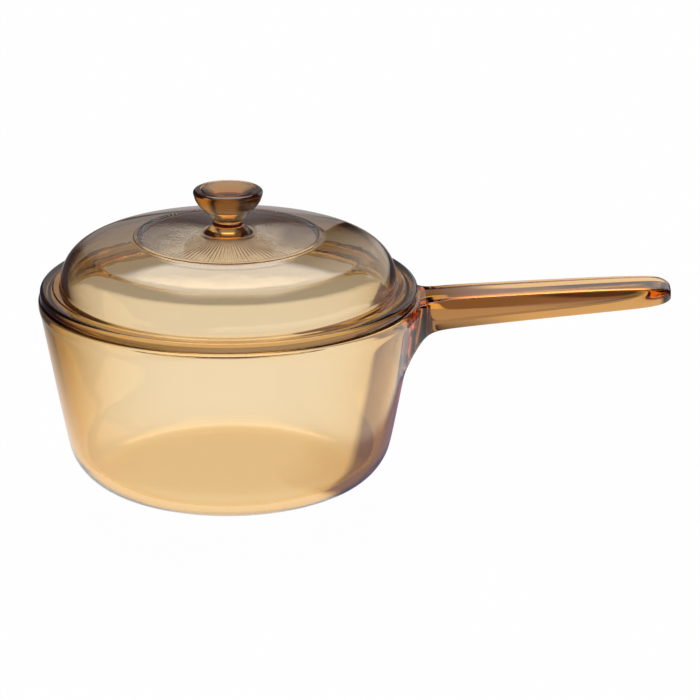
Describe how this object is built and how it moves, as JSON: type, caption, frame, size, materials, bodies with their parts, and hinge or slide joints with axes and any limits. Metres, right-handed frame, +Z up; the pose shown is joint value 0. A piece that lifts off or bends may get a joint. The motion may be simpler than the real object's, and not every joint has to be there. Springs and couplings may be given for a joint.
{
  "type": "saucepan",
  "caption": "Amber glass saucepan with a tapered round bowl, a long straight solid handle cast in one with it, and a lift-off domed glass lid with a round knob and a rayed crown.",
  "frame": {"origin": "centre of the flat base, on the bowl's axis", "axes": "+Z up along the bowl's axis, +X out along the handle, +Y to the left when looking along the handle"},
  "size_m": [0.3515, 0.212, 0.168],
  "materials": {
    "pan_glass": "smooth clear amber",
    "lid_glass": "smooth clear amber"
  },
  "bodies": {
    "pan": {"pan": "pan_glass"},
    "lid": {"lid": "lid_glass"}
  },
  "joints": [
    {"name": "lid_lift", "type": "slide", "parent": "pan", "child": "lid", "axis": [0, 0, 1], "range_m": [0, 0.15]}
  ]
}
